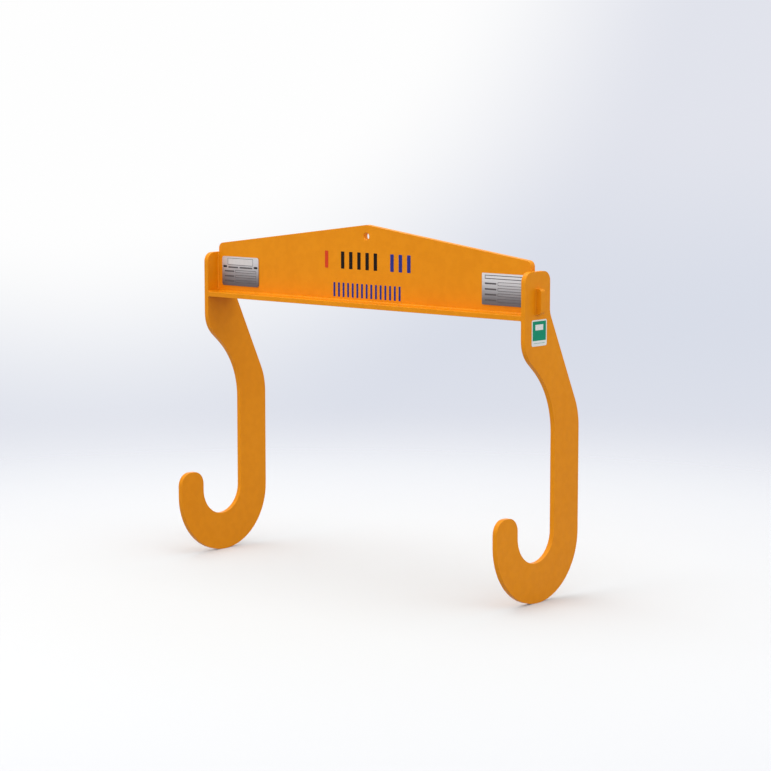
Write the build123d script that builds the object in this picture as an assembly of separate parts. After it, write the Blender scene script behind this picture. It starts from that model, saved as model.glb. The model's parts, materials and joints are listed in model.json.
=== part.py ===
from build123d import *
from math import atan2, hypot, sqrt, tan
import os

# A lifting beam for rolls that are carried on a mandrel. A gabled web plate stands on a flat
# bottom flange, and a J-shaped hook plate is welded across each end. The web's tenons pass
# through the hook plates. Millimetres, with the origin at the centre of the lifting eye:
# +X runs along the beam to the right hook, +Y to the back and +Z up.

# Beam
inside_width = 1300.0  # clear distance between the two hook plates
web_thickness = 20.0
web_end_height = 157.5  # of the web above the flange, at each end
web_apex_height = 241.0  # of the web above the flange, at the gable's peak
web_end_radius = 19.0
web_apex_radius = 20.0
flange_thickness = 15.0

# Lifting eye
eye_diameter = 22.0
eye_rim = 2.5  # rounding of the eye's two rims
eye_depth = 36.0  # from the gable's peak down to the eye's centre

# Tenons at the web's ends, and their slots in the hook plates
tenon_height = 76.0
tenon_lift = 2.0  # from the flange's top up to the tenon's underside
tenon_reach = 20.0  # past the hook's outer face
tenon_radius = 10.0  # of a tenon's two outer corners
slot_clearance = 0.5  # round the tenon, on every side

# Hook plates
hook_thickness = 16.0
head_step = 29.0  # from the web's end corner down to the hook's head
head_width = 120.0
head_radius = 30.0
shank_width = 120.0
tip_width = 100.0
tip_rise = 64.0  # of the tip above the bowl's centre
tip_radius = 42.5
bowl_radius = 87.5
bowl_floor = 122.5  # plate left below the bowl
bowl_drop = 640.0  # from the flange's underside down to the bowl's centre

# Neck of the hook, where the shank is set back from the head
front_bend_depth = 100.5  # from the flange's underside down to the upper front bend
front_neck_drop = 128.0  # from the upper front bend down to the lower one
front_upper_bend = 95.0
front_lower_bend = 255.0
rear_bend_rise = 19.0  # from the flange's underside up to the upper rear bend
rear_neck_drop = 310.5  # from the upper rear bend down to the lower one
rear_upper_bend = 57.0
rear_lower_bend = 197.5

# Cut edges and welds
root_gap = 2.5  # left for the welds between the web's ends and the hook plates
edge_break = 0.8  # rounding of the plates' free edges
bend_share = 0.98  # most of a straight edge that the bends at its ends may take up
weld_leg = 5.0
tenon_weld_leg = 3.0  # of the bead round a tenon
weld_crown = 0.6  # how far a bead's face stands out of flat
weld_toe = 0.5  # land left at the thin edge of the bead round a tenon
weld_stop = 3.0  # from an end bead's top to the end of the plates it joins
weld_slope = 45.0  # degrees, of the bead round a tenon

# Data plates on the web's front
label_width = 165.0
label_height = 95.0
label_thickness = 1.5
label_radius = 8.0  # of the strapped label's corners
plain_label_radius = 3.0
label_end_margin = 20.0  # from the hook plate to the label
label_base_margin = 21.0  # from the flange's top to the label
pad_thickness = 1.0
pad_inset = 4.0  # from the label's edge to the pad's edge
pad_radius = 5.0
strap_slot_length = 18.0
strap_slot_width = 7.0
strap_slot_edge = 13.0  # from the label's end to the slot's centre
strap_slot_rise = 14.5  # of the slot above the label's middle

# Vinyl markings on the web's front, in two rows of upright blocks
vinyl_thickness = 0.4
block_radius = 2.0
upper_row_left = -174.0
upper_row_base = 100.0  # above the flange's top
upper_block_width = 14.0
upper_block_height = 54.0
upper_block_pitch = 34.2
lower_row_left = -138.0
lower_row_base = 11.0  # above the flange's top
lower_block_width = 8.0
lower_block_height = 45.0
lower_block_pitch = 19.4

# Which places of each row hold a block
red_places = range(0, 1)
black_places = range(2, 7)
blue_places = range(8, 11)
lower_places = range(0, 15)

# Sticker on the right hook's outer face
sticker_width = 72.0
sticker_height = 78.0
sticker_radius = 6.0
sticker_back = 8.0  # of the sticker's middle behind the web's middle plane
sticker_drop = 38.0  # of the sticker's middle below the flange's underside

# Levels and planes that follow from the sizes above
apex_z = eye_depth
flange_top = apex_z - web_apex_height
flange_bottom = flange_top - flange_thickness
web_shoulder = flange_top + web_end_height
web_front = -web_thickness / 2
head_top = web_shoulder - head_step
bowl_z = flange_bottom - bowl_drop
hook_bottom = bowl_z - bowl_radius - bowl_floor
tenon_bottom = flange_top + tenon_lift
tenon_middle = tenon_bottom + tenon_height / 2
half_width = inside_width / 2
web_end = half_width - root_gap
tenon_end = half_width + hook_thickness + tenon_reach

LEFT, RIGHT = -1, 1
FRONT, REAR = -1, 1
UP = Vector(0, 0, 1)
SIDES = {"left": LEFT, "right": RIGHT}
FACINGS = {"front": FRONT, "rear": REAR}


def fitted_bends(upper, lower, run, drop):
    """Radii of the two bends at the ends of a slanted edge, cut back together if it is too short."""
    half_turn = atan2(run, drop) / 2
    needed = (upper + lower) * tan(half_turn)
    share = min(1.0, bend_share * hypot(run, drop) / needed)
    return upper * share, lower * share


def hook_outline():
    """Outline of a hook plate in the YZ plane, from the shank's back round to the heel."""
    head_front = -head_width / 2
    head_back = head_width / 2
    shank_front = bowl_radius
    shank_back = shank_front + shank_width
    tip_back = -bowl_radius
    tip_front = tip_back - tip_width
    heel_radius = (shank_back - tip_front) / 2
    heel_y = shank_back - heel_radius
    heel_z = hook_bottom + heel_radius
    tip_top = bowl_z + tip_rise
    front_high = flange_bottom - front_bend_depth
    front_low = front_high - front_neck_drop
    rear_high = flange_bottom + rear_bend_rise
    rear_low = rear_high - rear_neck_drop

    front_upper, front_lower = fitted_bends(
        front_upper_bend, front_lower_bend, shank_front - head_front, front_neck_drop
    )
    rear_upper, rear_lower = fitted_bends(
        rear_upper_bend, rear_lower_bend, shank_back - head_back, rear_neck_drop
    )
    tip_corner = min(tip_radius, bend_share * tip_width / 2, bend_share * tip_rise)
    head_corner = min(head_radius, bend_share * head_width / 2)

    body = FilletPolyline(
        (shank_back, heel_z),
        (shank_back, rear_low),
        (head_back, rear_high),
        (head_back, head_top),
        (head_front, head_top),
        (head_front, front_high),
        (shank_front, front_low),
        (shank_front, bowl_z),
        radius=[rear_lower, rear_upper, head_corner, head_corner, front_upper, front_lower],
    )
    bowl = ThreePointArc((shank_front, bowl_z), (0, bowl_z - bowl_radius), (tip_back, bowl_z))
    tip = FilletPolyline(
        (tip_back, bowl_z),
        (tip_back, tip_top),
        (tip_front, tip_top),
        (tip_front, heel_z),
        radius=[tip_corner, tip_corner],
    )
    heel = ThreePointArc((tip_front, heel_z), (heel_y, hook_bottom), (shank_back, heel_z))
    return make_face(body.edges() + bowl.edges() + tip.edges() + heel.edges())


def hook_plate(side):
    """One hook plate with broken edges and the slot for the web's tenon."""
    inner_face = side * half_width
    outer_face = side * (half_width + hook_thickness)
    blank = extrude(Plane.YZ * hook_outline(), amount=hook_thickness)
    rims = [face.outer_wire().edges() for face in blank.faces().filter_by(Axis.X)]
    blank = fillet(rims[0] + rims[1], edge_break)
    slot = Box(
        2 * hook_thickness,
        web_thickness + 2 * slot_clearance,
        tenon_height + 2 * slot_clearance,
    )
    blank = Pos(min(inner_face, outer_face), 0, 0) * blank
    return blank - Pos((inner_face + outer_face) / 2, 0, tenon_middle) * slot


def web_tenon(side):
    """One tenon of the web, from inside the web's end out to its rounded nose."""
    root = web_end - tenon_reach
    length = tenon_end - root
    block = Pos(side * (root + length / 2), 0, tenon_middle) * Box(length, web_thickness, tenon_height)
    corner = min(tenon_radius, bend_share * tenon_reach, bend_share * tenon_height / 2)
    nose = block.faces().sort_by(Axis.X, reverse=side == LEFT)[-1]
    block = fillet(nose.edges().filter_by(Axis.Y), corner)
    nose = block.faces().sort_by(Axis.X, reverse=side == LEFT)[-1]
    return fillet(nose.edges().filter_by(Axis.Z), edge_break)


def web_plate():
    """The gabled web with its lifting eye, its two tenons and broken free edges."""
    left_foot, right_foot = (-web_end, flange_top), (web_end, flange_top)
    gable = FilletPolyline(
        left_foot,
        (-web_end, web_shoulder),
        (0, apex_z),
        (web_end, web_shoulder),
        right_foot,
        radius=[web_end_radius, web_apex_radius, web_end_radius],
    )
    foot = Line(right_foot, left_foot)
    blank = extrude(
        Plane.XZ * make_face(gable.edges() + foot.edges()),
        amount=web_thickness / 2,
        both=True,
    )
    free_edges = blank.edges().filter_by(lambda edge: edge.center().Z > head_top)
    blank = fillet(free_edges.filter_by(Axis.Y, reverse=True), edge_break)
    blank -= Rot(90, 0, 0) * Cylinder(eye_diameter / 2, 2 * web_thickness)
    eye_rims = blank.edges().filter_by(GeomType.CIRCLE).sort_by_distance((0, 0, 0))[:2]
    blank = fillet(eye_rims, min(eye_rim, bend_share * web_thickness / 2))
    return blank + web_tenon(LEFT) + web_tenon(RIGHT)


def bottom_flange():
    """The flat bar under the web, as wide as the hooks' heads and with its long edges broken."""
    bar = Pos(0, 0, (flange_top + flange_bottom) / 2) * Box(inside_width, head_width, flange_thickness)
    return fillet(bar.edges().filter_by(Axis.X), edge_break)


def weld_bead(start, end, first_wall, second_wall):
    """A fillet bead along a joint's corner: legs on the two walls and a crowned face between them."""
    root = Vector(*start)
    run = Vector(*end) - root
    first_toe = root + first_wall * weld_leg
    second_toe = root + second_wall * weld_leg
    crown = root + (first_wall + second_wall) * (weld_leg / 2 + weld_crown / sqrt(2))
    legs = Polyline(first_toe, root, second_toe)
    face = ThreePointArc(second_toe, crown, first_toe)
    return extrude(make_face(legs.edges() + face.edges()), amount=run.length, dir=run.normalized())


def tenon_weld(side):
    """The bead round a tenon, on the hook's outer face."""
    outer_face = side * (half_width + hook_thickness)
    face_plane = Plane(origin=(outer_face, 0, tenon_middle), x_dir=(0, 1, 0), z_dir=(side, 0, 0))
    foot = RectangleRounded(
        web_thickness + 2 * tenon_weld_leg, tenon_height + 2 * tenon_weld_leg, tenon_weld_leg
    )
    mound = extrude(face_plane * foot, amount=tenon_weld_leg - weld_toe, taper=weld_slope)
    tenon = face_plane * Box(web_thickness, tenon_height, 2 * tenon_weld_leg)
    return mound - tenon


def label_middle(side):
    """Middle of a data plate, as its place along the beam and its height."""
    x = side * (half_width - label_end_margin - label_width / 2)
    z = flange_top + label_base_margin + label_height / 2
    return x, z


def label_pad(side):
    """The adhesive pad between the web and a data plate."""
    x, z = label_middle(side)
    outline = RectangleRounded(label_width - 2 * pad_inset, label_height - 2 * pad_inset, pad_radius)
    return extrude(Plane.XZ.offset(-web_front) * Pos(x, z) * outline, amount=pad_thickness)


def label_plate(side, strap_slots):
    """A data plate on its pad, with a strap slot near each end where it has them."""
    x, z = label_middle(side)
    corner = label_radius if strap_slots else plain_label_radius
    outline = RectangleRounded(label_width, label_height, corner)
    if strap_slots:
        slot_x = label_width / 2 - strap_slot_edge
        slot = SlotOverall(strap_slot_length, strap_slot_width)
        outline -= Pos(-slot_x, strap_slot_rise) * slot
        outline -= Pos(slot_x, strap_slot_rise) * slot
    front = Plane.XZ.offset(pad_thickness - web_front)
    return extrude(front * Pos(x, z) * outline, amount=label_thickness)


def marking(places, left, base, width, height, pitch):
    """Upright vinyl blocks on the web's front, at the given places of a row."""
    block = RectangleRounded(width, height, block_radius)
    middle = flange_top + base + height / 2
    front = Plane.XZ.offset(-web_front)
    blocks = []
    for place in places:
        x = left + width / 2 + place * pitch
        blocks.append(extrude(front * Pos(x, middle) * block, amount=vinyl_thickness))
    return Compound(blocks)


def upper_marking(places):
    """Blocks of the upper row."""
    return marking(
        places, upper_row_left, upper_row_base, upper_block_width, upper_block_height, upper_block_pitch
    )


def lower_marking(places):
    """Blocks of the lower row."""
    return marking(
        places, lower_row_left, lower_row_base, lower_block_width, lower_block_height, lower_block_pitch
    )


def inspection_sticker():
    """The vinyl sticker on the right hook's outer face, below the tenon."""
    outer_face = half_width + hook_thickness
    outline = RectangleRounded(sticker_width, sticker_height, sticker_radius)
    face = Plane.YZ.offset(outer_face) * Pos(sticker_back, flange_bottom - sticker_drop)
    return extrude(face * outline, amount=vinyl_thickness)


# Plates
nodes = {
    "web_plate": web_plate(),
    "bottom_flange": bottom_flange(),
    "left_hook": hook_plate(LEFT),
    "right_hook": hook_plate(RIGHT),
}

# Welds along the web's foot
for facing_name, facing in FACINGS.items():
    web_face = facing * web_thickness / 2
    nodes[f"web_flange_weld_{facing_name}"] = weld_bead(
        (-half_width, web_face, flange_top),
        (half_width, web_face, flange_top),
        Vector(0, facing, 0),
        UP,
    )

# Welds at the beam's ends
end_weld_top = head_top - weld_stop
flange_edge = head_width / 2 - edge_break
for side_name, side in SIDES.items():
    hook_face = side * half_width
    inward = Vector(-side, 0, 0)
    for facing_name, facing in FACINGS.items():
        web_face = facing * web_thickness / 2
        nodes[f"{side_name}_web_weld_{facing_name}"] = weld_bead(
            (hook_face, web_face, flange_top + weld_leg),
            (hook_face, web_face, end_weld_top),
            inward,
            Vector(0, facing, 0),
        )
        nodes[f"{side_name}_flange_weld_{facing_name}"] = weld_bead(
            (hook_face, web_face + facing * weld_leg, flange_top),
            (hook_face, facing * flange_edge, flange_top),
            inward,
            UP,
        )
    nodes[f"{side_name}_flange_weld_under"] = weld_bead(
        (hook_face, -flange_edge, flange_bottom),
        (hook_face, flange_edge, flange_bottom),
        inward,
        -UP,
    )
    nodes[f"{side_name}_tenon_weld"] = tenon_weld(side)

# Plates, markings and sticker that are stuck on
for side_name, side in SIDES.items():
    nodes[f"{side_name}_plate_pad"] = label_pad(side)
    nodes[f"{side_name}_data_plate"] = label_plate(side, strap_slots=side == LEFT)
nodes["red_marking"] = upper_marking(red_places)
nodes["black_marking"] = upper_marking(black_places)
nodes["blue_marking"] = upper_marking(blue_places)
nodes["lower_marking"] = lower_marking(lower_places)
nodes["inspection_sticker"] = inspection_sticker()

os.makedirs("parts", exist_ok=True)
for node_name, solid in nodes.items():
    export_step(solid, f"parts/{node_name}.step")
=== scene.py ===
import json
import logging
import math
from dataclasses import dataclass
from enum import Enum

import bpy
import numpy as np
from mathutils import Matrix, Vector


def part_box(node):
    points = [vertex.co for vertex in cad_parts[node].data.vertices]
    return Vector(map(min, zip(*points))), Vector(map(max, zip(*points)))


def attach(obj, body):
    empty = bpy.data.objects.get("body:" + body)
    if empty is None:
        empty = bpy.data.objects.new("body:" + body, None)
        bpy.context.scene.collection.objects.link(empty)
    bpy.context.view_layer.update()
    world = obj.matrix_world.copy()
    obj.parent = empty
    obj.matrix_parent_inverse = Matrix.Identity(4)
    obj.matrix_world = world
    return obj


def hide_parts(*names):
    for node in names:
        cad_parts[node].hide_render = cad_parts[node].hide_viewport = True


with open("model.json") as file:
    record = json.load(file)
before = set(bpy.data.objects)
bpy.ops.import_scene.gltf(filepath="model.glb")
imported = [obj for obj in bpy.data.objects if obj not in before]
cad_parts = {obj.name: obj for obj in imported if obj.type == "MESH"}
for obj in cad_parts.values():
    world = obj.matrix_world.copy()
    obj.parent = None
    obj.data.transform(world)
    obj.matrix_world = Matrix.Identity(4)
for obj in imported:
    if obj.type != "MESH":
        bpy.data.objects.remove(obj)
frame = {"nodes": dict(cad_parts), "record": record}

log = logging.getLogger("mandrel_hook")

Pair = tuple[float, float]
Point = tuple[float, float, float]
Rgb = tuple[float, float, float]
Socket = bpy.types.NodeSocket

MM = 0.001
ROOT_BODY = "root"
WELD_SLOT = "painted_weld"
ORIGIN: Point = (0.0, 0.0, 0.0)
CORNER_SIGNS = np.array([[1.0, 1.0], [-1.0, 1.0], [-1.0, -1.0], [1.0, -1.0]])


class Signed(Enum):
    """A choice between the two ways along an axis, with the sign of each."""

    @property
    def word(self) -> str:
        """The choice's name as the nodes spell it."""
        return self.name.lower()


class Side(Signed):
    """The two ends of the beam, with the sign of X at each."""

    LEFT = -1
    RIGHT = 1


class Facing(Signed):
    """The two faces of the web, with the sign of Y at each."""

    FRONT = -1
    REAR = 1


class Along(Enum):
    """The three axes of the frame, with the column that holds each."""

    X = 0
    Y = 1
    Z = 2

    def unit(self, sign: float = 1.0) -> np.ndarray:
        """The unit vector along this axis, turned round for a negative sign."""
        return sign * np.eye(3)[self.value]


Wall = tuple[Along, float]


class PlateLayout(Enum):
    """What is printed on a data plate: a title panel over rows of fields, or rows of fields alone."""

    TITLED = "titled"
    RULED = "ruled"


@dataclass(frozen=True)
class Ramp:
    """A range of numbers, and what its two ends become when it is carried to another range."""

    low: float
    high: float
    at_low: float = 0.0
    at_high: float = 1.0


@dataclass(frozen=True)
class Noise:
    """Cloudy noise: its features per metre, and how many finer layers it has."""

    scale: float
    detail: float


@dataclass(frozen=True)
class Relief:
    """A bump: how much of its height shows, and what a height of 1 measures in metres."""

    strength: float
    depth: float


class NodeGraph:
    """A node tree with short calls to add nodes, set their plain values and join them."""

    def __init__(self, tree: bpy.types.NodeTree) -> None:
        """Starts from an empty tree."""
        self.tree = tree
        tree.nodes.clear()

    def add(self, kind: str, inputs: dict | None = None, **settings: object) -> bpy.types.Node:
        """Adds one node.

        Args:
            kind: the node's type name.
            inputs: values for its inputs by name or number; a socket is linked, anything else is set.
            settings: attributes of the node itself.

        Returns:
            The new node.
        """
        node = self.tree.nodes.new(kind)
        for name, value in settings.items():
            setattr(node, name, value)
        for key, value in (inputs or {}).items():
            if isinstance(value, Socket):
                self.tree.links.new(value, node.inputs[key])
            else:
                node.inputs[key].default_value = value
        return node

    def math(self, operation: str, first: Socket | float, second: Socket | float = 0.0) -> Socket:
        """The result of the named sum on two numbers, as a socket."""
        return self.add("ShaderNodeMath", {0: first, 1: second}, operation=operation).outputs[0]

    def spread(self, value: Socket, ramp: Ramp) -> Socket:
        """A number carried from one range to another with soft ends.

        Args:
            value: the number.
            ramp: the two ranges.

        Returns:
            The result's socket.
        """
        ends = {"From Min": ramp.low, "From Max": ramp.high, "To Min": ramp.at_low, "To Max": ramp.at_high}
        node = self.add("ShaderNodeMapRange", {"Value": value, **ends}, interpolation_type="SMOOTHSTEP")
        return node.outputs["Result"]

    def noise(self, place: Socket, noise: Noise) -> Socket:
        """Cloudy noise between 0 and 1 at a place, as a socket."""
        inputs = {"Vector": place, "Scale": noise.scale, "Detail": noise.detail}
        return self.add("ShaderNodeTexNoise", inputs).outputs["Fac"]

    def stretched(self, place: Socket, scale: Point) -> Socket:
        """A place with X, Y and Z each scaled by a factor of its own, as a socket."""
        return self.add("ShaderNodeMapping", {"Vector": place, "Scale": scale}).outputs["Vector"]

    def blend(self, share: Socket, first: Rgb | Socket, second: Rgb | Socket) -> Socket:
        """A colour between two others.

        Args:
            share: 0 for the first colour, 1 for the second.
            first: one colour.
            second: the other colour.

        Returns:
            The mixed colour's socket.
        """
        inputs = {0: share}
        for key, colour in ((6, first), (7, second)):
            inputs[key] = colour if isinstance(colour, Socket) else (*colour, 1.0)
        return self.add("ShaderNodeMix", inputs, data_type="RGBA").outputs[2]

    def bump(self, height: Socket, relief: Relief) -> Socket:
        """A surface direction disturbed by a height of about 0 to 1, as a socket."""
        inputs = {"Strength": relief.strength, "Distance": relief.depth, "Height": height}
        return self.add("ShaderNodeBump", inputs).outputs["Normal"]

    def apart(self, first: Socket, second: Point) -> Socket:
        """The distance between two places, as a socket."""
        node = self.add("ShaderNodeVectorMath", {0: first, 1: second}, operation="DISTANCE")
        return node.outputs["Value"]

    def split(self, vector: Socket) -> list[Socket]:
        """The three parts of a vector, as sockets."""
        return list(self.add("ShaderNodeSeparateXYZ", {0: vector}).outputs)

    def mixed(self, share: Socket, first: bpy.types.Node, second: bpy.types.Node) -> bpy.types.Node:
        """A shader between two others, the second where the share is 1."""
        inputs = {0: share, 1: first.outputs[0], 2: second.outputs[0]}
        return self.add("ShaderNodeMixShader", inputs)

    def surface(self, shader: bpy.types.Node) -> None:
        """Ends the tree with this shader as the surface."""
        self.add("ShaderNodeOutputMaterial", {"Surface": shader.outputs[0]})

    def principled(self, inputs: dict[str, Socket | float]) -> None:
        """Ends the tree with a principled shader that has these inputs."""
        self.surface(self.add("ShaderNodeBsdfPrincipled", inputs))


def new_material(name: str) -> tuple[bpy.types.Material, NodeGraph, Socket]:
    """A material with a new node tree.

    Args:
        name: the material's name.

    Returns:
        The material, its graph, and the socket that says where on the object a point lies.
    """
    material = bpy.data.materials.new(name)
    material.use_nodes = True
    graph = NodeGraph(material.node_tree)
    return material, graph, graph.add("ShaderNodeTexCoord").outputs["Object"]


def tinted(colour: Rgb, gain: float, lift: float = 0.0) -> Rgb:
    """A colour with each part multiplied by the gain and raised by the lift."""
    return tuple(part * gain + lift for part in colour)


@dataclass(frozen=True)
class EnamelPaint:
    """Semi-gloss enamel sprayed on steel: orange peel, a slow drift of tone, marks on plate edges, and a
    bore wall painted paler as wear and painted light.

    cut_axis is the axis across the plate's thickness, or None where the surface has no edge. drag says
    how much the lines that the cutting flame left on the edge show through the paint. bore is the radius
    of the hole about the Y axis whose wall is painted paler, or 0 where there is none: partly pin wear,
    and partly painted light that lifts the shade inside the bore. Its rims keep their coat. The ramps
    on_edge, off_edge and before_face read the turn of the surface, which is 0 on the plate's edge and 1
    on its face.
    """

    name: str
    cut_axis: Along | None = None
    drag: float = 0.0
    bore: float = 0.0
    coat: Rgb = (0.735, 0.243, 0.0026)
    thin: Rgb = (0.815, 0.287, 0.0052)
    rubbed: Rgb = (0.88, 0.37, 0.026)
    # The next colour paints the bore's wall paler: partly pin wear, and partly painted light that lifts
    # the shade inside the bore.
    pin_wear_and_painted_light: Rgb = (0.93, 0.37, 0.010)
    pin_wear_and_light_reach: float = 0.3 * MM
    rim_reach: float = 4.0 * MM
    drift: Noise = Noise(2.4, 3.0)
    drift_share: Ramp = Ramp(0.35, 0.7, 0.18, 0.62)
    cloud: Noise = Noise(42.0, 4.0)
    cloud_share: Ramp = Ramp(0.35, 0.65, -0.11, 0.25)
    peel: Noise = Noise(300.0, 1.0)
    wave: Noise = Noise(34.0, 1.0)
    wave_gain: float = 1.6
    relief: Relief = Relief(0.7, 0.4 * MM)
    roughness: Ramp = Ramp(0.3, 0.7, 0.33, 0.43)
    specular: float = 0.12
    lines: Noise = Noise(520.0, 2.0)
    line_stretch: float = 0.03
    on_edge: Ramp = Ramp(0.05, 0.4, 1.0, 0.0)
    off_edge: Ramp = Ramp(0.15, 0.55)
    before_face: Ramp = Ramp(0.75, 0.98, 1.0, 0.0)
    patches: Noise = Noise(55.0, 4.0)
    patch_share: Ramp = Ramp(0.42, 0.62, 0.1, 0.75)

    def material(self) -> bpy.types.Material:
        """The enamel: thick and thin coat by broad and cloudy noise, orange peel, an edge's marks, and
        painted light with pin wear on a bore's wall.

        Returns:
            The material.
        """
        material, graph, place = new_material(self.name)
        drift = graph.spread(graph.noise(place, self.drift), self.drift_share)
        cloud = graph.spread(graph.noise(place, self.cloud), self.cloud_share)
        colour = graph.blend(graph.math("ADD", drift, cloud), self.coat, self.thin)
        peel = graph.noise(place, self.peel)
        wave = graph.noise(place, self.wave)
        height = graph.math("ADD", graph.math("MULTIPLY", wave, self.wave_gain), peel)
        if self.cut_axis is not None:
            normal = graph.add("ShaderNodeTexCoord").outputs["Normal"]
            turn = graph.math("ABSOLUTE", graph.split(normal)[self.cut_axis.value])
            drag = graph.math("MULTIPLY", self.drag_lines(graph, place, turn), self.drag)
            height = graph.math("ADD", height, drag)
            rub = self.rub(graph, place, turn)
            if self.bore:
                rub = graph.math("MULTIPLY", rub, self.past_bore(graph, place, self.rim_reach))
                # Painted light in the bore: its wall is painted paler, partly as pin wear and partly to
                # lift the shade that falls inside it.
                colour = graph.blend(self.past_bore(graph, place, self.pin_wear_and_light_reach), self.pin_wear_and_painted_light, colour)
            colour = graph.blend(rub, colour, self.rubbed)
        graph.principled(
            {
                "Base Color": colour,
                "Roughness": graph.spread(wave, self.roughness),
                "Specular IOR Level": self.specular,
                "Normal": graph.bump(height, self.relief),
            }
        )
        return material

    def drag_lines(self, graph: NodeGraph, place: Socket, turn: Socket) -> Socket:
        """Fine noise drawn out across the thickness, as a height on the cut edge alone.

        Args:
            graph: the material's graph.
            place: where to read it.
            turn: 0 where the surface is the plate's edge, 1 where it is a face.

        Returns:
            The height's socket.
        """
        scale = tuple(self.line_stretch if axis is self.cut_axis else 1.0 for axis in Along)
        lines = graph.noise(graph.stretched(place, scale), self.lines)
        return graph.math("MULTIPLY", lines, graph.spread(turn, self.on_edge))

    def rub(self, graph: NodeGraph, place: Socket, turn: Socket) -> Socket:
        """How far the coat is rubbed: only on the rounding between edge and face, and patchy by noise.

        Args:
            graph: the material's graph.
            place: where to read it.
            turn: 0 where the surface is the plate's edge, 1 where it is a face.

        Returns:
            The share's socket.
        """
        rounding = graph.math(
            "MULTIPLY", graph.spread(turn, self.off_edge), graph.spread(turn, self.before_face)
        )
        patchy = graph.spread(graph.noise(place, self.patches), self.patch_share)
        return graph.math("MULTIPLY", rounding, patchy)

    def past_bore(self, graph: NodeGraph, place: Socket, reach: float) -> Socket:
        """0 in the bore and 1 out of reach of its wall, by distance from the Y axis, as a socket."""
        across_bore = graph.stretched(place, (1.0, 0.0, 1.0))
        return graph.spread(graph.apart(across_bore, ORIGIN), Ramp(self.bore, self.bore + reach))


@dataclass(frozen=True)
class BrushedLabel:
    """Satin metal brushed along X, with painted sheen and shade in its colour: light at its top edge,
    darkening to its foot.
    """

    name: str
    foot: float
    top: float
    # dark is painted shade at the plate's foot, and light is painted sheen at its top edge.
    dark: Rgb = (0.17, 0.165, 0.17)
    light: Rgb = (0.735, 0.72, 0.705)
    grain: Noise = Noise(900.0, 3.0)
    grain_stretch: float = 0.02
    grain_tone: Ramp = Ramp(0.3, 0.7, -0.07, 0.07)
    roughness: Ramp = Ramp(0.3, 0.7, 0.55, 0.68)
    relief: Relief = Relief(0.4, 0.02 * MM)

    def material(self) -> bpy.types.Material:
        """The brushed plate: painted sheen and shade by height, light at the top edge and dark at the
        foot, with fine lines along X in tone, gloss and bump.

        Returns:
            The material.
        """
        material, graph, place = new_material(self.name)
        grain = graph.noise(graph.stretched(place, (self.grain_stretch, 1.0, 1.0)), self.grain)
        # Painted reflection: the colour runs from painted shade at the foot to painted sheen at the top
        # edge.
        level = graph.spread(graph.split(place)[Along.Z.value], Ramp(self.foot, self.top))
        level = graph.math("ADD", level, graph.spread(grain, self.grain_tone))
        graph.principled(
            {
                "Base Color": graph.blend(level, self.dark, self.light),
                "Metallic": 1.0,
                "Roughness": graph.spread(grain, self.roughness),
                "Normal": graph.bump(grain, self.relief),
            }
        )
        return material


@dataclass(frozen=True)
class VinylFilm:
    """Cut vinyl film or baked ink: one colour with a faint mottle and a soft gloss."""

    name: str
    colour: Rgb
    worn: Rgb
    roughness: float = 0.45
    specular: float = 0.10
    mottle: Noise = Noise(90.0, 3.0)
    wear: Ramp = Ramp(0.4, 0.8, 0.0, 0.6)
    relief: Relief = Relief(0.2, 0.03 * MM)

    def material(self) -> bpy.types.Material:
        """The film: its colour drifts towards the worn one by noise, over a faint bump.

        Returns:
            The material.
        """
        material, graph, place = new_material(self.name)
        mottle = graph.noise(place, self.mottle)
        graph.principled(
            {
                "Base Color": graph.blend(graph.spread(mottle, self.wear), self.colour, self.worn),
                "Roughness": self.roughness,
                "Specular IOR Level": self.specular,
                "Normal": graph.bump(mottle, self.relief),
            }
        )
        return material


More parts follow.
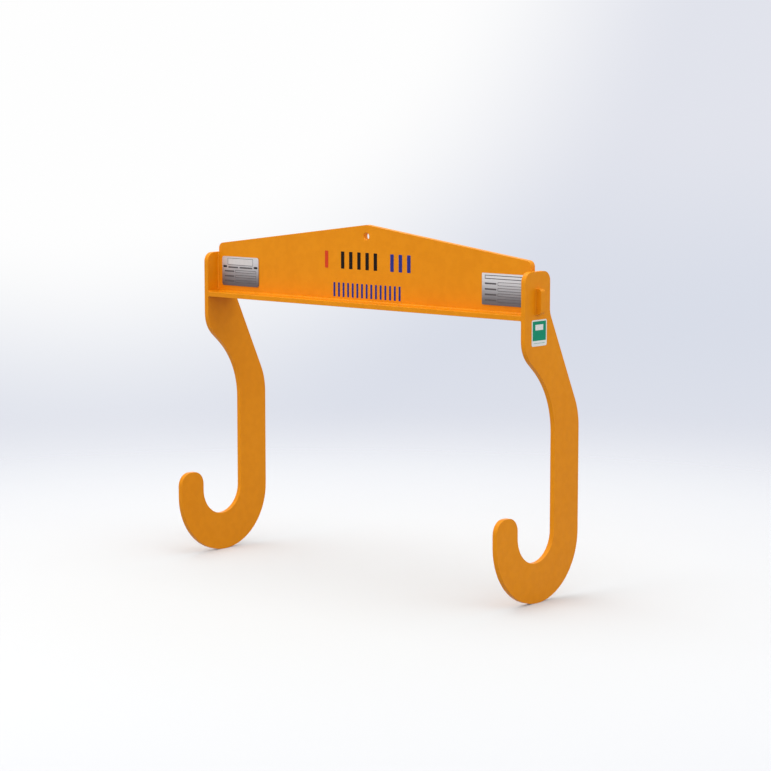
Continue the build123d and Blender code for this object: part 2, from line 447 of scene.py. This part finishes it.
@dataclass(frozen=True)
class StickerPrint:
    """White vinyl with a printed green field inside a border: a blank box in it, a ruled strip below."""

    name: str
    low: np.ndarray
    high: np.ndarray
    border: float = 4.0 * MM
    strip: float = 16.0 * MM
    box_width: float = 38.0 * MM
    box_height: float = 17.0 * MM
    box_from_top: float = 14.0 * MM
    rule: float = 1.4 * MM
    rule_inset: float = 9.0 * MM
    blur: float = 0.4 * MM
    white: Rgb = (0.74, 0.76, 0.74)
    green: Rgb = (0.003, 0.285, 0.155)
    deep_green: Rgb = (0.002, 0.24, 0.135)
    mottle: Noise = Noise(60.0, 3.0)
    roughness: Ramp = Ramp(0.3, 0.7, 0.36, 0.44)
    specular: float = 0.12
    relief: Relief = Relief(0.15, 0.03 * MM)

    def oblong(self, graph: NodeGraph, place: Socket, low: Pair, high: Pair) -> Socket:
        """1 inside an upright oblong, and 0 outside, with soft edges.

        Args:
            graph: the material's graph.
            place: where to read it.
            low: the oblong's least Y and Z.
            high: its greatest Y and Z.

        Returns:
            The mask's socket.
        """
        mask = 1.0
        for value, least, most in zip(graph.split(place)[1:], low, high):
            rise = graph.spread(value, Ramp(least, least + self.blur))
            fall = graph.spread(value, Ramp(most - self.blur, most, 1.0, 0.0))
            mask = graph.math("MULTIPLY", mask, graph.math("MULTIPLY", rise, fall))
        return mask

    def printed(self, graph: NodeGraph, place: Socket) -> Socket:
        """1 where the print is green: the field less its box, and the rule in the strip below.

        Args:
            graph: the material's graph.
            place: where to read it.

        Returns:
            The mask's socket.
        """
        (_, near, foot), (_, far, top) = self.low, self.high
        middle, half_box = (near + far) / 2, self.box_width / 2
        box_top = top - self.box_from_top
        rule_foot = foot + self.strip / 2
        field_low = (near + self.border, foot + self.strip)
        field_high = (far - self.border, top - self.border)
        field = self.oblong(graph, place, field_low, field_high)
        box_low = (middle - half_box, box_top - self.box_height)
        box = self.oblong(graph, place, box_low, (middle + half_box, box_top))
        rule_low = (near + self.rule_inset, rule_foot)
        rule = self.oblong(graph, place, rule_low, (far - self.rule_inset, rule_foot + self.rule))
        return graph.math("MAXIMUM", graph.math("SUBTRACT", field, box), rule)

    def material(self) -> bpy.types.Material:
        """The sticker: masks by Y and Z choose green or white, with a faint mottle in tone and gloss.

        Returns:
            The material.
        """
        material, graph, place = new_material(self.name)
        mottle = graph.noise(place, self.mottle)
        green = graph.blend(mottle, self.green, self.deep_green)
        graph.principled(
            {
                "Base Color": graph.blend(self.printed(graph, place), self.white, green),
                "Roughness": graph.spread(mottle, self.roughness),
                "Specular IOR Level": self.specular,
                "Normal": graph.bump(mottle, self.relief),
            }
        )
        return material


@dataclass(frozen=True)
class FoamPad:
    """Matt black adhesive foam with fine open cells."""

    name: str
    colour: Rgb = (0.012, 0.012, 0.013)
    pale_gain: float = 2.0
    cell_scale: float = 1400.0
    roughness: float = 0.9
    specular: float = 0.15
    relief: Relief = Relief(0.5, 0.1 * MM)

    def material(self) -> bpy.types.Material:
        """The foam: small round cells by distance to scattered points, as bump and tone.

        Returns:
            The material.
        """
        material, graph, place = new_material(self.name)
        scatter = graph.add("ShaderNodeTexVoronoi", {"Vector": place, "Scale": self.cell_scale})
        cells = scatter.outputs["Distance"]
        graph.principled(
            {
                "Base Color": graph.blend(cells, self.colour, tinted(self.colour, self.pale_gain)),
                "Roughness": self.roughness,
                "Specular IOR Level": self.specular,
                "Normal": graph.bump(cells, self.relief),
            }
        )
        return material


def grid_faces(rows: int, columns: int, wrap_rows: bool, wrap_columns: bool) -> np.ndarray:
    """Corners of the quads of a grid, whose points are numbered row by row.

    Args:
        rows: how many rows of points there are.
        columns: how many points a row has.
        wrap_rows: whether the last row joins the first.
        wrap_columns: whether each row's last point joins its first.

    Returns:
        One line of four point numbers for each quad.
    """
    row = np.arange(rows if wrap_rows else rows - 1)[:, None]
    column = np.arange(columns if wrap_columns else columns - 1)[None, :]
    next_row = (row + 1) % rows
    next_column = (column + 1) % columns
    corners = [
        row * columns + column,
        row * columns + next_column,
        next_row * columns + next_column,
        next_row * columns + column,
    ]
    return np.stack([np.broadcast_to(c, (row.size, column.size)) for c in corners], -1).reshape(-1, 4)


def mesh_object(
    name: str, points: np.ndarray, loops: list[np.ndarray], smooth: bool = True
) -> bpy.types.Object:
    """An object at the origin from points and faces.

    Args:
        name: the object's name.
        points: one line of three coordinates for each point, in metres.
        loops: arrays of faces; each array holds faces with the same number of corners.
        smooth: whether the faces are shaded as one smooth surface.

    Returns:
        The object, linked to the scene.
    """
    corners = np.concatenate([loop.ravel() for loop in loops]).astype(np.int32)
    counts = np.concatenate([np.full(len(loop), loop.shape[1]) for loop in loops])
    starts = np.concatenate([[0], np.cumsum(counts)[:-1]]).astype(np.int32)
    mesh = bpy.data.meshes.new(name)
    mesh.vertices.add(len(points))
    mesh.vertices.foreach_set("co", points.astype(np.float32).ravel())
    mesh.loops.add(len(corners))
    mesh.loops.foreach_set("vertex_index", corners)
    mesh.polygons.add(len(counts))
    mesh.polygons.foreach_set("loop_start", starts)
    mesh.polygons.foreach_set("use_smooth", np.full(len(counts), smooth))
    mesh.update(calc_edges=True)
    mesh.validate()
    piece = bpy.data.objects.new(name, mesh)
    bpy.context.scene.collection.objects.link(piece)
    return piece


def swept(
    path: np.ndarray, first: np.ndarray, second: np.ndarray, u: np.ndarray, v: np.ndarray
) -> np.ndarray:
    """A profile carried along a path: each row's point, plus u along first and v along second."""
    return path[:, None, :] + u[:, :, None] * first[:, None, :] + v[:, :, None] * second[:, None, :]


def looks_inward(grid: np.ndarray, faces: np.ndarray, heart: np.ndarray) -> bool:
    """Whether faces, on the whole, look towards a line of points inside the shape.

    Args:
        grid: points, row by column by three.
        faces: quads of the grid.
        heart: one inner point for each row.

    Returns:
        True if the faces have to be turned round.
    """
    points = grid.reshape(-1, 3)
    quads = points[faces]
    normals = np.cross(quads[:, 2] - quads[:, 0], quads[:, 3] - quads[:, 1])
    away = quads.mean(1) - heart[faces[:, 0] // grid.shape[1]]
    return bool((normals * away).sum() < 0)


def node_box(node: str) -> tuple[np.ndarray, np.ndarray]:
    """The lowest and highest corners of a node, as arrays in metres."""
    low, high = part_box(node)
    return np.array(low), np.array(high)


def dress_node(node: str, material: bpy.types.Material) -> None:
    """Puts a finish on a node of the frame."""
    frame["nodes"][node].material_slots[0].material = material
    log.info("node %s: finish %s", node, material.name)


def finish_piece(piece: bpy.types.Object, material: bpy.types.Material, slot: str, *nodes: str) -> None:
    """Dresses a new piece, puts it on the beam and lets it stand for its nodes.

    Args:
        piece: the object.
        material: its finish.
        slot: the record's material slot; not used.
        nodes: the nodes that it replaces, if any.
    """
    piece.data.materials.append(material)
    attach(piece, ROOT_BODY)
    if nodes:
        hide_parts(*nodes)
    log.info("piece %s: %d faces, replaces %s", piece.name, len(piece.data.polygons), nodes or "nothing")


@dataclass
class BeadShape:
    """Section and ripples that every weld bead shares.

    A bead's face runs from toe to toe. Its height over the flat between the toes is a crown plus
    ripples, which are arcs that trail behind the middle as the weld pool did. wander and pace are
    sines along the run, in radians per metre: the legs vary by wander, and the ripples' places by pace.
    """

    leg: float
    crown: float = 0.7 * MM
    ripple: float = 0.32 * MM
    pitch: float = 2.6 * MM
    trail: float = 0.9
    sink: float = 0.25 * MM
    uneven: float = 0.05
    wander: Pair = (61.0, 173.0)
    wander_shift: float = 2.3
    pace: float = 97.0
    pace_share: float = 0.35
    end_size: float = 0.03
    columns: int = 9
    steps_per_ripple: int = 7

    def rows(self, length: float) -> int:
        """How many rows of points a bead of this length has."""
        return int(math.ceil(length / self.pitch * self.steps_per_ripple)) + 1

    def face(self, travel: np.ndarray, size: np.ndarray, seed: float) -> tuple[np.ndarray, np.ndarray]:
        """Coordinates of the bead's section along its two walls, for each place on its run.

        With a from 0 to 1 across the face, u = leg (1 - a) and v = leg a, both raised by the height
        over root two. The height is (crown + ripple) times 4 a (1 - a). The ripple falls off as the
        square of the share of a pitch since the last one. The legs vary by slow sines.

        Args:
            travel: distance along the run at each row.
            size: how full the bead is at each row, 0 to 1.
            seed: shifts the slow sines, so that no two beads are alike.

        Returns:
            The first and second coordinates, row by column; the last column is the root.
        """
        across = np.linspace(0.0, 1.0, self.columns)[None, :]
        distance = travel[:, None]
        slow, quick = self.wander
        wander = np.sin(distance * slow + seed) + np.sin(distance * quick + self.wander_shift * seed)
        leg = self.leg * (1.0 + self.uneven * 0.5 * wander) * size[:, None]
        phase = distance / self.pitch + self.pace_share * np.sin(distance * self.pace + seed)
        phase = phase + self.trail * (2.0 * across - 1.0) ** 2
        share = phase - np.floor(phase)
        hump = 4.0 * across * (1.0 - across)
        height = (self.crown + self.ripple * (1.0 - share**2)) * hump * size[:, None]
        lift = height / math.sqrt(2.0) - self.sink
        u = leg * (1.0 - across) + lift
        v = leg * across + lift
        root = np.full((len(travel), 1), -self.sink)
        return np.hstack([u, root]), np.hstack([v, root])

    def heart(self, path: np.ndarray, first: np.ndarray, second: np.ndarray) -> np.ndarray:
        """Points inside the section at each row, a quarter of a leg off both walls."""
        return path + (first + second) * self.leg / 4


@dataclass
class StraightBead:
    """One straight fillet weld in the corner between two plates."""

    node: str
    run: Along
    walls: tuple[Wall, Wall]
    seed: float
    start_overlap: float = 0.0
    end_overlap: float = 0.0

    def build(self, finish: bpy.types.Material) -> bpy.types.Object:
        """The bead's section carried along its corner, with rounded ends.

        The size at each end follows a quarter circle, one leg long, so that the bead starts and
        stops in a round nose.

        Args:
            finish: the paint.

        Returns:
            The bead.
        """
        low, high = node_box(self.node)
        root = np.zeros(3)
        for axis, sign in self.walls:
            root[axis.value] = low[axis.value] if sign > 0 else high[axis.value]
        leg = float(min((high - low)[axis.value] for axis, _ in self.walls))
        shape = BeadShape(leg)
        begin = low[self.run.value] - self.start_overlap
        length = high[self.run.value] + self.end_overlap - begin
        travel = np.linspace(0.0, length, shape.rows(length))
        nose = np.clip(np.minimum(travel, length - travel) / leg, 0.0, 1.0)
        size = np.sqrt(1.0 - (1.0 - nose) ** 2) * (1.0 - shape.end_size) + shape.end_size
        u, v = shape.face(travel, size, self.seed)
        path = np.tile(root, (len(travel), 1))
        path[:, self.run.value] = begin + travel
        first, second = (np.tile(axis.unit(sign), (len(travel), 1)) for axis, sign in self.walls)
        grid = swept(path, first, second, u, v)
        rows, columns = u.shape
        faces = grid_faces(rows, columns, False, True)
        caps = np.stack([np.arange(columns)[::-1], (rows - 1) * columns + np.arange(columns)])
        if looks_inward(grid, faces, shape.heart(path, first, second)):
            faces, caps = faces[:, ::-1], caps[:, ::-1]
        piece = mesh_object(f"{self.node}_bead", grid.reshape(-1, 3), [faces, caps])
        finish_piece(piece, finish, WELD_SLOT, self.node)
        return piece


@dataclass
class TenonBead:
    """The weld bead round a tenon, on the hook's outer face.

    Its ripples are spaced along a line that lies toe_share of a leg outside the tenon.
    """

    side: Side
    seed: float
    corner_steps: int = 24
    toe_share: float = 0.6

    def build(self, finish: bpy.types.Material) -> bpy.types.Object:
        """The bead's section carried round the tenon.

        The path is the tenon's outline. On a side the outward direction stays square to it, and at
        a corner the path waits while that direction turns through a right angle.

        Args:
            finish: the paint.

        Returns:
            The bead.
        """
        node = f"{self.side.word}_tenon_weld"
        low, high = node_box(node)
        web_low, web_high = node_box("web_plate")
        leg = float((high[1] - low[1] - (web_high[1] - web_low[1])) / 2)
        shape = BeadShape(leg)
        face_x = low[0] if self.side is Side.RIGHT else high[0]
        half_y = float(high[1] - low[1]) / 2 - leg
        half_z = float(high[2] - low[2]) / 2 - leg
        middle_z = float(low[2] + high[2]) / 2
        corners = CORNER_SIGNS * (half_y, half_z)
        outs = np.array([[0.0, 1.0], [-1.0, 0.0], [0.0, -1.0], [1.0, 0.0]])
        angle = np.linspace(0.0, math.pi / 2, self.corner_steps)[1:-1, None]
        places, turns = [], []
        for begin, end, out, next_out in zip(corners, np.roll(corners, -1, 0), outs, np.roll(outs, -1, 0)):
            steps = shape.rows(float(np.abs(end - begin).sum()))
            share = np.linspace(0.0, 1.0, steps)[:, None]
            places.append(begin + (end - begin) * share)
            turns.append(np.tile(out, (steps, 1)))
            places.append(np.tile(end, (len(angle), 1)))
            turns.append(out * np.cos(angle) + next_out * np.sin(angle))
        place, turn = np.vstack(places), np.vstack(turns)
        toe = place + turn * leg * self.toe_share
        travel = np.cumsum(np.linalg.norm(toe - np.roll(toe, 1, axis=0), axis=1))
        u, v = shape.face(travel, np.ones(len(travel)), self.seed)
        path = np.column_stack([np.full(len(place), face_x), place[:, 0], place[:, 1] + middle_z])
        first = np.column_stack([np.zeros(len(turn)), turn])
        second = np.tile(Along.X.unit(self.side.value), (len(turn), 1))
        grid = swept(path, first, second, u, v)
        faces = grid_faces(*u.shape, True, True)
        if looks_inward(grid, faces, shape.heart(path, first, second)):
            faces = faces[:, ::-1]
        piece = mesh_object(f"{node}_bead", grid.reshape(-1, 3), [faces])
        finish_piece(piece, finish, WELD_SLOT, node)
        return piece


@dataclass
class WeldedBeam:
    """The four painted plates and the weld beads that join them.

    The seeds shift each bead's sines, so that no two beads are alike.
    """

    flame_cut: tuple[tuple[str, Along], ...] = (
        ("web_plate", Along.Y),
        ("left_hook", Along.X),
        ("right_hook", Along.X),
    )
    rolled: tuple[tuple[str, Along], ...] = (("bottom_flange", Along.Z),)
    flame_drag: float = 0.8
    corner_overlap: float = 4.0 * MM
    foot_seed: float = 1.0
    side_seed: float = 3.0
    facing_seed: float = 5.0
    flange_seed: float = 1.7
    under_seed: float = 11.0
    tenon_seed: float = 7.0

    def eye_radius(self) -> float:
        """The radius of the lifting eye's bore, as the record gives it."""
        mounts = {mount["name"]: mount for mount in frame["record"]["mounts"]}
        return mounts["lifting_eye"]["dims"]["r_mm"] * MM

    def paint_plates(self) -> None:
        """Gives each plate its enamel, with the flame's lines on the edges that were cut."""
        for drag, plates in ((self.flame_drag, self.flame_cut), (0.0, self.rolled)):
            for node, axis in plates:
                # The web's bore wall is painted paler: partly pin wear, and partly painted light against
                # the shade in the bore.
                bore = self.eye_radius() if node == "web_plate" else 0.0
                dress_node(node, EnamelPaint(f"enamel_{node}", axis, drag, bore).material())

    def beads(self) -> list[StraightBead]:
        """Every straight bead, from the joints between the plates.

        Returns:
            The beads, each with the walls that it lies on.
        """
        up, down = (Along.Z, 1.0), (Along.Z, -1.0)
        overlap = self.corner_overlap
        beads = []
        for facing in Facing:
            side_wall = (Along.Y, float(facing.value))
            foot = f"web_flange_weld_{facing.word}"
            beads.append(StraightBead(foot, Along.X, (side_wall, up), self.foot_seed + facing.value))
        for side in Side:
            inward = (Along.X, float(-side.value))
            for facing in Facing:
                side_wall = (Along.Y, float(facing.value))
                seed = self.side_seed * side.value + self.facing_seed * facing.value
                upright = f"{side.word}_web_weld_{facing.word}"
                beads.append(StraightBead(upright, Along.Z, (inward, side_wall), seed, overlap))
                seed += self.flange_seed
                near, far = (overlap, 0.0) if facing is Facing.REAR else (0.0, overlap)
                level = f"{side.word}_flange_weld_{facing.word}"
                beads.append(StraightBead(level, Along.Y, (inward, up), seed, near, far))
            under = f"{side.word}_flange_weld_under"
            beads.append(StraightBead(under, Along.Y, (inward, down), self.under_seed + side.value))
        return beads

    def build(self) -> None:
        """Paints the plates and lays the beads."""
        self.paint_plates()
        finish = EnamelPaint("enamel_beads").material()
        for bead in self.beads():
            bead.build(finish)
        for side in Side:
            TenonBead(side, self.tenon_seed + side.value).build(finish)


def rounded_outline(width: float, height: float, corner: float, steps: int) -> np.ndarray:
    """Points round an oblong with arcs at its corners, anticlockwise from its right side.

    Each point is the centre of a corner's arc plus the radius turned by the point's angle.

    Args:
        width: the oblong's width.
        height: its height.
        corner: the arcs' radius.
        steps: points on each arc.

    Returns:
        Points, one line of two coordinates each, about the oblong's middle.
    """
    quarter = np.arange(4)[:, None] * math.pi / 2
    angle = quarter + np.linspace(0.0, math.pi / 2, steps)[None, :]
    centre = CORNER_SIGNS * (np.array([width, height]) / 2 - corner)
    return (centre[:, None, :] + corner * np.stack([np.cos(angle), np.sin(angle)], -1)).reshape(-1, 2)


@dataclass(frozen=True)
class Patch:
    """A printed oblong, in millimetres from the plate's top left corner: solid, or a line round it."""

    left: float
    top: float
    width: float
    height: float
    line: float = 0.0


@dataclass
class InkPrint:
    """Ink that stands a little proud of a plate's front face."""

    name: str
    slot: str
    rise: float = 0.12 * MM
    sink: float = 0.05 * MM
    slope: float = 0.10 * MM
    corner: float = 1.2 * MM
    least_corner: float = 0.02 * MM
    arc_steps: int = 6

    def rings(self, patch: Patch, origin: np.ndarray) -> np.ndarray:
        """The patch's outline at each step of its section, which is carried round the oblong.

        A solid patch has a foot and a top, drawn in by the slope. A line has a foot, two tops and a
        foot again, drawn in by up to its own width. The foot is sunk into the plate.

        Args:
            patch: the oblong.
            origin: the top left corner of the plate's front face.

        Returns:
            Points, ring by point by three.
        """
        line = patch.line * MM
        if line:
            insets = (0.0, self.slope, line - self.slope, line)
            heights = (-self.sink, self.rise, self.rise, -self.sink)
        else:
            insets = (0.0, self.slope)
            heights = (-self.sink, self.rise)
        middle = np.array([patch.left + patch.width / 2, -patch.top - patch.height / 2]) * MM
        outer_corner = min(self.corner, min(patch.width, patch.height) * MM / 2)
        rings = []
        for inset, height in zip(insets, heights):
            size = (patch.width * MM - 2 * inset, patch.height * MM - 2 * inset)
            corner = max(outer_corner - inset, self.least_corner)
            outline = middle + rounded_outline(*size, corner, self.arc_steps)
            rings.append(np.column_stack([outline[:, 0], np.full(len(outline), -height), outline[:, 1]]))
        return origin + np.stack(rings)

    def build(
        self, patches: list[Patch], origin: np.ndarray, finish: bpy.types.Material
    ) -> bpy.types.Object:
        """One piece from every patch: closed rings for lines, capped ones for solid patches.

        Args:
            patches: the oblongs.
            origin: the top left corner of the plate's front face.
            finish: the ink.

        Returns:
            The piece.
        """
        points, quads, caps = [], [], []
        count = 0
        for patch in patches:
            rings = self.rings(patch, origin)
            rows, columns, _ = rings.shape
            quads.append(count + grid_faces(rows, columns, bool(patch.line), True))
            if not patch.line:
                foot = np.arange(columns)[::-1]
                top = (rows - 1) * columns + np.arange(columns)
                caps.append(count + np.stack([foot, top]))
            points.append(rings.reshape(-1, 3))
            count += rows * columns
        piece = mesh_object(self.name, np.vstack(points), [np.vstack(quads), *caps], smooth=False)
        finish_piece(piece, finish, self.slot)
        return piece


@dataclass
class DataPlate:
    """A brushed plate with printed blank fields, on its foam pad.

    Print sizes are in millimetres, and a row is its middle below the plate's top edge and its height.
    """

    side: Side
    layout: PlateLayout
    line: float = 1.5
    caption_left: float = 11.0
    caption_width: float = 44.0
    caption_height: float = 5.0
    field_left: float = 60.0
    field_width: float = 94.0
    title_frame: Patch = Patch(25.0, 5.0, 115.0, 23.0, line=1.5)
    title_panel: Patch = Patch(28.0, 8.0, 109.0, 17.0)
    title_bars: tuple[Patch, ...] = (Patch(28.0, 32.5, 45.0, 5.0), Patch(79.0, 32.5, 58.0, 5.0))
    titled_rows: tuple[Pair, ...] = ((48.0, 9.0), (64.0, 9.0), (80.0, 9.0))
    heading: Patch = Patch(11.0, 5.5, 143.0, 12.0, line=2.4)
    ruled_rows: tuple[Pair, ...] = ((31.0, 11.0), (48.0, 10.0), (64.0, 9.5), (81.0, 11.0))
    ink: Rgb = (0.095, 0.088, 0.092)
    ink_wear: float = 1.5
    ink_roughness: float = 0.5
    pale_ink: Rgb = (0.64, 0.62, 0.62)
    pale_soiling: float = 0.9
    pale_roughness: float = 0.4

    def field_row(self, middle: float, height: float) -> list[Patch]:
        """A caption bar and the blank field beside it.

        Args:
            middle: the row's middle below the plate's top edge.
            height: the field's height.

        Returns:
            The two patches.
        """
        caption_top = middle - self.caption_height / 2
        caption = Patch(self.caption_left, caption_top, self.caption_width, self.caption_height)
        field = Patch(self.field_left, middle - height / 2, self.field_width, height, self.line)
        return [caption, field]

    def dark_patches(self) -> list[Patch]:
        """Everything printed in dark ink: the title's frame and bars or the heading, then the rows.

        Returns:
            The patches, topmost first.
        """
        if self.layout is PlateLayout.TITLED:
            patches, rows = [self.title_frame, *self.title_bars], self.titled_rows
        else:
            patches, rows = [self.heading], self.ruled_rows
        for middle, height in rows:
            patches += self.field_row(middle, height)
        return patches

    def build(self) -> None:
        """Dresses the plate and its pad, and prints the fields on the plate's front face."""
        node = f"{self.side.word}_data_plate"
        low, high = node_box(node)
        label = BrushedLabel(f"brushed_{node}", float(low[2]), float(high[2]))
        dress_node(node, label.material())
        dress_node(f"{self.side.word}_plate_pad", FoamPad(f"foam_{self.side.word}_pad").material())
        corner = np.array([low[0], low[1], high[2]])
        worn = tinted(self.ink, self.ink_wear)
        dark = VinylFilm(f"ink_{node}", self.ink, worn, roughness=self.ink_roughness)
        InkPrint(f"{node}_fields", "black_vinyl").build(self.dark_patches(), corner, dark.material())
        if self.layout is PlateLayout.TITLED:
            soiled = tinted(self.pale_ink, self.pale_soiling)
            pale = VinylFilm(f"pale_ink_{node}", self.pale_ink, soiled, roughness=self.pale_roughness)
            InkPrint(f"{node}_title", "satin_label").build([self.title_panel], corner, pale.material())


@dataclass
class Markings:
    """The vinyl blocks on the web and the sticker on the right hook."""

    red: Rgb = (0.61, 0.050, 0.014)
    black: Rgb = (0.008, 0.005, 0.003)
    blue: Rgb = (0.022, 0.030, 0.215)
    wear: float = 1.2
    wear_lift: float = 0.001

    def build(self) -> None:
        """Dresses the vinyl and the sticker."""
        for node, colour in (
            ("red_marking", self.red),
            ("black_marking", self.black),
            ("blue_marking", self.blue),
            ("lower_marking", self.blue),
        ):
            worn = tinted(colour, self.wear, self.wear_lift)
            dress_node(node, VinylFilm(f"vinyl_{node}", colour, worn).material())
        low, high = node_box("inspection_sticker")
        dress_node("inspection_sticker", StickerPrint("sticker_print", low, high).material())


@dataclass(frozen=True)
class SoftBox:
    """A square lamp: where it hangs, the point that it faces, its side in metres, its power in watts."""

    name: str
    place: Point
    aim: Point
    size: float
    power: float

    def build(self) -> None:
        """Hangs the lamp, out of the camera's sight."""
        data = bpy.data.lights.new(self.name, "AREA")
        data.size = self.size
        data.energy = self.power
        lamp = bpy.data.objects.new(self.name, data)
        bpy.context.scene.collection.objects.link(lamp)
        lamp.location = self.place
        lamp.visible_camera = False
        direction = Vector(self.aim) - Vector(self.place)
        lamp.rotation_euler = direction.to_track_quat("-Z", "Y").to_euler()


@dataclass
class Studio:
    """Floor, world, lamps and the camera at the photograph's place.

    The floor's ramps read the distance from fade_middle in metres. The world's read the distance
    between directions of unit length.
    """

    floor_radius: float = 40.0
    floor_hub: float = 0.05
    floor_rings: int = 13
    floor_spokes: int = 96
    near_paper: Rgb = (0.656, 0.659, 0.657)
    far_paper: Rgb = (0.884, 0.888, 0.885)
    paper_reach: Ramp = Ramp(0.16, 3.76)
    bounce_colour: Rgb = (0.35, 0.35, 0.35)
    fade_middle: Pair = (0.11, -0.49)
    fade_reach: Ramp = Ramp(0.0, 4.75)
    frame_pixels: float = 771.0
    focal_pixels: float = 2419.3
    camera_place: Point = (4.9973, -5.6311, 0.4620)
    camera_yaw: float = 41.18
    camera_pitch: float = 7.04
    camera_range: float = 200.0
    sensor: float = 36.0
    ambient: float = 0.92
    ambient_colour: Rgb = (1.0, 1.0, 1.0)
    white: Rgb = (0.992, 0.992, 0.992)
    pale_haze: Rgb = (0.755, 0.771, 0.840)
    deep_haze: Rgb = (0.692, 0.723, 0.809)
    glow_pixel: Pair = (67.0, -182.0)
    glow_reach: Ramp = Ramp(0.163, 0.267)
    haze_level: float = -0.096
    haze_reach: Ramp = Ramp(0.0, 0.083)
    lamps: tuple[SoftBox, ...] = (
        SoftBox("overhead_box", (-0.4, -0.2, 3.2), (0.0, 0.0, -0.4), 4.0, 105.0),
        SoftBox("front_box", (-0.3, -3.2, 1.4), (0.0, 0.0, -0.1), 2.0, 22.0),
        SoftBox("right_box", (4.5, 0.3, 1.2), (0.0, 0.0, -0.5), 3.0, 27.0),
    )

    def sight(self, pixel: Pair) -> np.ndarray:
        """The direction from the camera through a pixel of the photograph.

        Args:
            pixel: across and down, in the photograph's frame.

        Returns:
            A unit vector.
        """
        yaw, pitch = math.radians(self.camera_yaw), math.radians(self.camera_pitch)
        right = np.array([math.cos(yaw), math.sin(yaw), 0.0])
        level = np.array([-math.sin(yaw), math.cos(yaw), 0.0])
        ahead = math.cos(pitch) * level - math.sin(pitch) * Along.Z.unit()
        above = np.cross(right, ahead)
        across = (pixel[0] - self.frame_pixels / 2) / self.focal_pixels
        down = (pixel[1] - self.frame_pixels / 2) / self.focal_pixels
        direction = ahead + across * right - down * above
        return direction / np.linalg.norm(direction)

    def seen_ray(self, graph: NodeGraph) -> Socket:
        """1 on camera, glossy and transmission rays, and 0 on the rays that light the scene.

        Args:
            graph: the tree that asks.

        Returns:
            The mask's socket.
        """
        path = graph.add("ShaderNodeLightPath").outputs
        seen = graph.math("ADD", path["Is Camera Ray"], path["Is Glossy Ray"])
        return graph.math("MINIMUM", graph.math("ADD", seen, path["Is Transmission Ray"]), 1.0)

    def build_world(self) -> None:
        """Even light from all round; what is seen of it is a white glow over haze, deepest in a band."""
        world = bpy.data.worlds.new("studio_world")
        world.use_nodes = True
        bpy.context.scene.world = world
        graph = NodeGraph(world.node_tree)
        direction = graph.add("ShaderNodeTexCoord").outputs["Generated"]
        rise = graph.math("SUBTRACT", graph.split(direction)[Along.Z.value], self.haze_level)
        off_band = graph.spread(graph.math("ABSOLUTE", rise), self.haze_reach)
        haze = graph.blend(off_band, self.deep_haze, self.pale_haze)
        from_glow = graph.apart(direction, tuple(self.sight(self.glow_pixel)))
        backdrop = graph.blend(graph.spread(from_glow, self.glow_reach), self.white, haze)
        seen = graph.add("ShaderNodeBackground", {"Color": backdrop, "Strength": 1.0})
        lit_by = {"Color": (*self.ambient_colour, 1.0), "Strength": self.ambient}
        light = graph.add("ShaderNodeBackground", lit_by)
        both = graph.mixed(self.seen_ray(graph), light, seen)
        graph.add("ShaderNodeOutputWorld", {"Surface": both.outputs[0]})

    def floor_paper(self, level: float) -> bpy.types.Material:
        """White paper that fades into the backdrop, and is paler where less light falls on it.

        Args:
            level: the floor's height.

        Returns:
            The material.
        """
        material, graph, place = new_material("floor_paper")
        reach = graph.apart(place, (*self.fade_middle, level))
        colour = graph.blend(graph.spread(reach, self.paper_reach), self.near_paper, self.far_paper)
        paper = graph.add("ShaderNodeBsdfDiffuse", {"Color": colour})
        clear = graph.add("ShaderNodeBsdfTransparent")
        seen = graph.mixed(graph.spread(reach, self.fade_reach), paper, clear)
        bounce = graph.add("ShaderNodeBsdfDiffuse", {"Color": (*self.bounce_colour, 1.0)})
        graph.surface(graph.mixed(self.seen_ray(graph), bounce, seen))
        return material

    def build_floor(self) -> None:
        """A round floor under the hooks: rings of points at even steps of angle and radius."""
        level = min(node_box(f"{side.word}_hook")[0][2] for side in Side)
        size = (self.floor_rings, self.floor_spokes)
        angle = np.linspace(0.0, 2 * math.pi, self.floor_spokes + 1)[:-1]
        radius = np.linspace(self.floor_hub, 1.0, self.floor_rings)[:, None] * self.floor_radius
        grid = np.stack([radius * np.cos(angle), radius * np.sin(angle), np.full(size, level)], -1)
        hub = np.arange(self.floor_spokes)[None, :]
        faces = grid_faces(*size, False, True)[:, ::-1]
        floor = mesh_object("studio_floor", grid.reshape(-1, 3), [faces, hub])
        floor.data.materials.append(self.floor_paper(level))

    def build_camera(self) -> None:
        """The camera, with the lens and place that the photograph was fitted with."""
        data = bpy.data.cameras.new("photo_camera")
        data.sensor_width = self.sensor
        data.lens = self.sensor * self.focal_pixels / self.frame_pixels
        data.clip_end = self.camera_range
        camera = bpy.data.objects.new("photo_camera", data)
        bpy.context.scene.collection.objects.link(camera)
        camera.location = self.camera_place
        tilt, turn = math.radians(90.0 - self.camera_pitch), math.radians(self.camera_yaw)
        camera.rotation_euler = (tilt, 0.0, turn)
        bpy.context.scene.camera = camera

    def build(self) -> None:
        """Sets up the whole studio."""
        self.build_world()
        self.build_floor()
        for lamp in self.lamps:
            lamp.build()
        self.build_camera()
        bpy.context.scene.view_settings.view_transform = "Standard"
        log.info("studio: floor, world, lamps and camera are in place")


def main() -> None:
    """Builds the studio and every piece in order."""
    logging.basicConfig(level=logging.INFO, format="%(name)s: %(message)s")
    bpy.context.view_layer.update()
    Studio().build()
    WeldedBeam().build()
    DataPlate(Side.LEFT, PlateLayout.TITLED).build()
    DataPlate(Side.RIGHT, PlateLayout.RULED).build()
    Markings().build()


if __name__ == "__main__":
    main()
